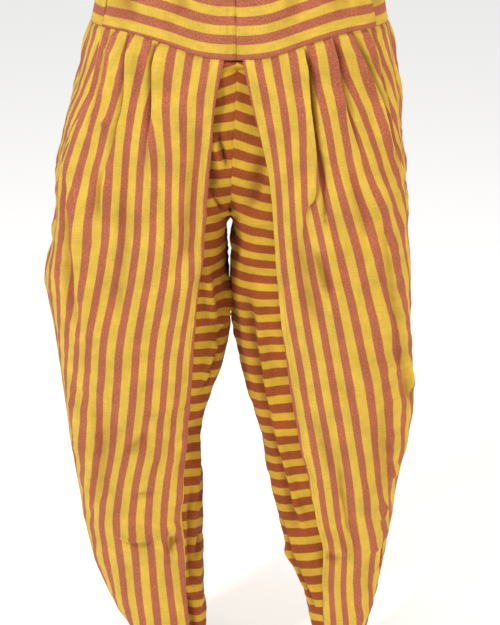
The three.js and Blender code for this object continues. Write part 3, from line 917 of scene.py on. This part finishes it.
def stitch_row(points, normals):
    """Vertices and faces of a row of stitches along a line of points on the cloth."""
    steps = np.linalg.norm(np.diff(points, axis=0), axis=1)
    along = np.concatenate([[0.0], np.cumsum(steps)])
    pitch = STITCH["pitch"]
    half = STITCH["length"] / 2
    vertices = []
    faces = []
    for middle in np.arange(pitch, along[-1] - pitch / 2, pitch):
        ends = (middle - half, middle + half)
        start, end = (np.array([np.interp(e, along, points[:, k]) for k in range(3)]) for e in ends)
        normal = np.array([np.interp(middle, along, normals[:, k]) for k in range(3)])
        axis = (end - start) / np.linalg.norm(end - start)
        normal -= axis * normal.dot(axis)
        normal /= np.linalg.norm(normal)
        side = np.cross(axis, normal)
        first = len(vertices)
        for place, size in STITCH_PROFILE:
            height = STITCH["radius"] * (size - STITCH["bed"]) + STITCH["raised"]
            centre = mix(start, end, place + 0.5) + normal * height
            for k in range(STITCH_SIDES):
                turn = 2 * math.pi * k / STITCH_SIDES
                ring = side * math.cos(turn) + normal * math.sin(turn)
                vertices.append(centre + ring * STITCH["radius"] * size)
        last = first + (len(STITCH_PROFILE) - 1) * STITCH_SIDES
        for ring in range(first, last, STITCH_SIDES):
            for k in range(STITCH_SIDES):
                a = ring + k
                b = ring + (k + 1) % STITCH_SIDES
                faces.append((a, b, b + STITCH_SIDES, a + STITCH_SIDES))
        faces.append(tuple(first + k for k in reversed(range(STITCH_SIDES))))
        faces.append(tuple(last + k for k in range(STITCH_SIDES)))
    return vertices, faces


def stitches(name, lines):
    """One piece with a row of stitches along each line of (points, normals)."""
    vertices = []
    faces = []
    for line in lines:
        more, more_faces = stitch_row(*line)
        faces += [tuple(v + len(vertices) for v in face) for face in more_faces]
        vertices += more
    return new_piece(name, vertices, faces)


def grid_line(points, normals, chosen):
    """Points and normals of the row or the column that chosen picks from a grid."""
    nx, ny = (normal[chosen] for normal in normals)
    return points[chosen], np.stack([nx, ny, np.zeros_like(nx)], axis=-1)


def node(tree, kind, **settings):
    made = tree.nodes.new(kind)
    for key, value in settings.items():
        setattr(made, key, value)
    return made


def math_node(tree, operation, *inputs, clamp=False):
    made = node(tree, "ShaderNodeMath", operation=operation, use_clamp=clamp)
    for socket, value in zip(made.inputs, inputs):
        if isinstance(value, (int, float)):
            socket.default_value = value
        else:
            tree.links.new(value, socket)
    return made.outputs[0]


def total_of(tree, *values):
    total = values[0]
    for value in values[1:]:
        total = math_node(tree, "ADD", total, value)
    return total


def scaled(tree, value, factor, offset=0.0):
    return math_node(tree, "MULTIPLY_ADD", value, factor, offset)


def ramp(tree, value, start, gain):
    """Grows by the gain from 0 at the start, and stays between 0 and 1."""
    return math_node(tree, "MULTIPLY_ADD", value, gain, -start * gain, clamp=True)


def noise_node(tree, vector, scale, detail, roughness=0.5):
    """Noise over a vector, with its own scale along each axis."""
    stretch = node(tree, "ShaderNodeVectorMath", operation="MULTIPLY")
    tree.links.new(vector, stretch.inputs[0])
    stretch.inputs[1].default_value = scale
    made = node(tree, "ShaderNodeTexNoise")
    made.inputs["Scale"].default_value = 1.0
    made.inputs["Detail"].default_value = detail
    made.inputs["Roughness"].default_value = roughness
    tree.links.new(stretch.outputs[0], made.inputs["Vector"])
    return made.outputs[0]


def mix_colour(tree, factor, first, second):
    made = node(tree, "ShaderNodeMix", data_type="RGBA")
    tree.links.new(factor, made.inputs[0])
    for socket, value in ((made.inputs[6], first), (made.inputs[7], second)):
        if isinstance(value, tuple):
            socket.default_value = (*value, 1)
        else:
            tree.links.new(value, socket)
    return made.outputs[2]


def new_material(name, **sockets):
    """A material with values for its shader's sockets, whose names have _ between their words."""
    material = bpy.data.materials.new(name)
    material.use_nodes = True
    shader = material.node_tree.nodes["Principled BSDF"]
    for key, value in sockets.items():
        shader.inputs[key.replace("_", " ")].default_value = value
    return material, material.node_tree, shader


def cotton_colour(tree, yellow_share, colours, periods, noise, slub):
    """Yellow and rust stripes with slubs, pale flecks in the rust, and painted shade: a darker colour in
    folds and creases.
    """
    wander = scaled(tree, noise["wander"], STRIPE_WANDER, -STRIPE_WANDER / 2)
    fray = scaled(tree, noise["fray"], STRIPE_FRAY, -STRIPE_FRAY / 2)
    count = total_of(tree, periods, wander, fray, 0.5 - yellow_share / 2)
    from_middle = math_node(tree, "ABSOLUTE", scaled(tree, math_node(tree, "FRACT", count), 1.0, -0.5))
    yellow_end = yellow_share / 2 + 0.5 / STRIPE_SHARPNESS
    yellow_mask = ramp(tree, from_middle, yellow_end, -STRIPE_SHARPNESS)

    yellow_mix = ramp(tree, slub, *YELLOW_RAMP)
    yellow = mix_colour(tree, yellow_mix, colours["yellow_shade"], colours["yellow"])
    flecked = scaled(tree, ramp(tree, noise["fleck"], *FLECK_RAMP), RUST_SHARES["fleck"])
    rust_mix = total_of(tree, flecked, scaled(tree, slub, RUST_SHARES["slub"]))
    rust = mix_colour(tree, rust_mix, colours["rust"], colours["rust_light"])
    cloth = mix_colour(tree, yellow_mask, rust, yellow)
    # painted shade: the colour goes towards the shade colour in folds and creases
    hollow = node(tree, "ShaderNodeAttribute", attribute_name="hollow")
    cloth = mix_colour(tree, scaled(tree, hollow.outputs["Fac"], PAINTED_SHADE_SHARE), cloth, colours["hollow"])
    toned = node(tree, "ShaderNodeVectorMath", operation="SCALE")
    tree.links.new(cloth, toned.inputs[0])
    tree.links.new(scaled(tree, noise["blotch"], TONE["spread"], TONE["least"]), toned.inputs["Scale"])
    return toned.outputs[0]


def cotton_relief(tree, across, along, noise, slub):
    """Bump of yarns that cross, slubs, flecks and fine creping."""
    yarn = 2 * math.pi / YARN_PITCH
    warp = math_node(tree, "SINE", scaled(tree, across, yarn))
    weft = math_node(tree, "SINE", scaled(tree, along, yarn))
    reliefs = {**noise, "yarn": math_node(tree, "MULTIPLY", warp, weft), "slub": slub}
    height = total_of(tree, *(scaled(tree, reliefs[key], size) for key, size in RELIEF.items()))
    bump = node(tree, "ShaderNodeBump")
    bump.inputs["Strength"].default_value = 0.5
    bump.inputs["Distance"].default_value = MM
    tree.links.new(height, bump.inputs["Height"])
    return bump.outputs[0]


def striped_cotton(name, yellow_share, colours):
    """Matte handloom cotton, drawn from the weave's coordinates."""
    looks = {"Specular_IOR_Level": 0.15, "Sheen_Weight": 0.04, "Sheen_Roughness": 0.45}
    material, tree, shader = new_material(name, **looks)
    weave = node(tree, "ShaderNodeAttribute", attribute_name="weave")
    parts = node(tree, "ShaderNodeSeparateXYZ")
    tree.links.new(weave.outputs["Vector"], parts.inputs[0])
    periods, across, along = parts.outputs
    place = node(tree, "ShaderNodeCombineXYZ")
    tree.links.new(across, place.inputs[0])
    tree.links.new(along, place.inputs[1])
    noise = {key: noise_node(tree, place.outputs[0], *row) for key, row in NOISES.items()}
    slub = scaled(tree, total_of(tree, noise["warp slub"], noise["weft slub"]), 0.5)

    colour = cotton_colour(tree, yellow_share, colours, periods, noise, slub)
    roughness = scaled(tree, slub, ROUGHNESS["spread"], ROUGHNESS["least"])
    tree.links.new(colour, shader.inputs["Base Color"])
    tree.links.new(roughness, shader.inputs["Roughness"])
    tree.links.new(cotton_relief(tree, across, along, noise, slub), shader.inputs["Normal"])
    return material


def thread_material():
    material, tree, shader = new_material("sewing_thread", Roughness=0.7, Sheen_Weight=0.1)
    where = node(tree, "ShaderNodeNewGeometry")
    tone = noise_node(tree, where.outputs["Position"], THREAD_GRAIN, 2)
    colour = mix_colour(tree, tone, THREAD, tuple(v * THREAD_PALE for v in THREAD))
    tree.links.new(colour, shader.inputs["Base Color"])
    return material


MATERIALS = {f"{key}_cloth": striped_cotton(f"{key}_cotton", *row) for key, row in CLOTHS.items()}
thread = thread_material()


def finish_piece(piece, node_name, slot, seams):
    piece.data.materials.append(MATERIALS[slot])
    seams.data.materials.append(thread)
    for part in (piece, seams):
        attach(part, "root")
    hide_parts(node_name)


def build_panel(layer, side, seed):
    name = f"{layer}_{side}"
    points, normals, weave, hollow = drape_panel(layer, side, seed)
    piece = cloth_piece(f"cloth_{name}", points, normals, weave, hollow, CLOTH)
    hem_row = int(np.argmin(np.abs(points[:, 0, 2] - (HEM_Z + HEM_STITCH))))
    lines = [grid_line(points, normals, hem_row)]
    if layer == "petal":
        offsets = np.linalg.norm(np.diff(points[LEVELS // 2], axis=0), axis=1).cumsum()
        column = int(np.argmin(np.abs(offsets - EDGE_STITCH))) + 1
        top_rows, hem_rows = EDGE_STITCH_ENDS
        lines.append(grid_line(points, normals, np.s_[top_rows : hem_row - hem_rows, column]))
    finish_piece(piece, name, f"{LAYER_CLOTH[layer]}_cloth", stitches(f"stitches_{name}", lines))


def yoke_stations(side, start, end):
    count = int(round(abs(end - start) * YOKE_COLUMNS))
    return [(side, angle) for angle in np.linspace(start, end, count)]


def build_yoke(name, stations, seed):
    points, normals, weave, hollow = drape_yoke(name, stations, seed)
    piece = cloth_piece(f"cloth_{name}", points, normals, weave, hollow, YOKE_CLOTH)
    level = points[:, :, 2].mean(axis=1)
    heights = (level[-1] + YOKE_STITCH, -CASING)
    lines = [grid_line(points, normals, int(np.argmin(np.abs(level - height)))) for height in heights]
    if name == "yoke_front_right":
        lines.append(grid_line(points, normals, np.s_[:, CENTRE_STITCH]))
    finish_piece(piece, name, "yoke_cloth", stitches(f"stitches_{name}", lines))


side_angle = float(side_seam(0))
for number, panel_side in enumerate(SIDES):
    for panel_layer in SPANS:
        build_panel(panel_layer, panel_side, SEEDS[panel_layer] + number)
    stretch = yoke_stations(panel_side, 90, side_angle)
    build_yoke(f"yoke_front_{panel_side}", stretch, SEEDS["yoke_front"] + number)
right_back = yoke_stations("right", side_angle, 270)
left_back = yoke_stations("left", 270, side_angle)
build_yoke("yoke_back", right_back + left_back[1:], SEEDS["yoke_back"])


def build_floor():
    reach = FLOOR_REACH / MM
    corners = ((-reach, -reach, 0), (reach, -reach, 0), (reach, reach, 0), (-reach, reach, 0))
    floor = new_piece("floor", corners, [(0, 1, 2, 3)])
    floor.location.z = FLOOR_Z
    paint, _, _ = new_material(
        "floor_paint",
        Base_Color=(0.88, 0.88, 0.88, 1),
        Emission_Color=(1, 1, 1, 1),
        Emission_Strength=FLOOR_GLOW,
        Roughness=0.9,
        Specular_IOR_Level=0.1,
    )
    floor.data.materials.append(paint)


def build_world():
    world = bpy.data.worlds.new("studio")
    world.use_nodes = True
    background = world.node_tree.nodes["Background"]
    background.inputs["Color"].default_value = (1.0, 0.99, 0.97, 1)
    background.inputs["Strength"].default_value = WORLD_STRENGTH
    bpy.context.scene.world = world


def aimed(place, target):
    """Rotation that points an object's -Z from place to target, with its Y upwards."""
    way = [t - p for p, t in zip(place, target)]
    flat = math.hypot(way[0], way[1])
    return (math.atan2(flat, -way[2]), 0.0, math.atan2(-way[0], way[1]))


def build_light(light):
    lamp = bpy.data.lights.new(light.name, "AREA")
    lamp.size = light.size
    lamp.energy = light.power
    lamp.color = light.colour
    lamp_object = new_object(light.name, lamp)
    lamp_object.location = light.place
    lamp_object.rotation_euler = aimed(light.place, MIDDLE)


def build_camera():
    camera = bpy.data.cameras.new("camera")
    camera.sensor_fit = "VERTICAL"
    camera.sensor_height = CAMERA["sensor"]
    camera.lens = CAMERA["lens"]
    camera_object = new_object("camera", camera)
    camera_object.location = CAMERA["place"]
    camera_object.rotation_euler = (math.radians(CAMERA["tilt"]), 0, 0)
    bpy.context.scene.camera = camera_object


build_floor()
build_world()
for studio_light in LIGHTS:
    build_light(studio_light)
build_camera()
bpy.context.scene.view_settings.view_transform = "Standard"
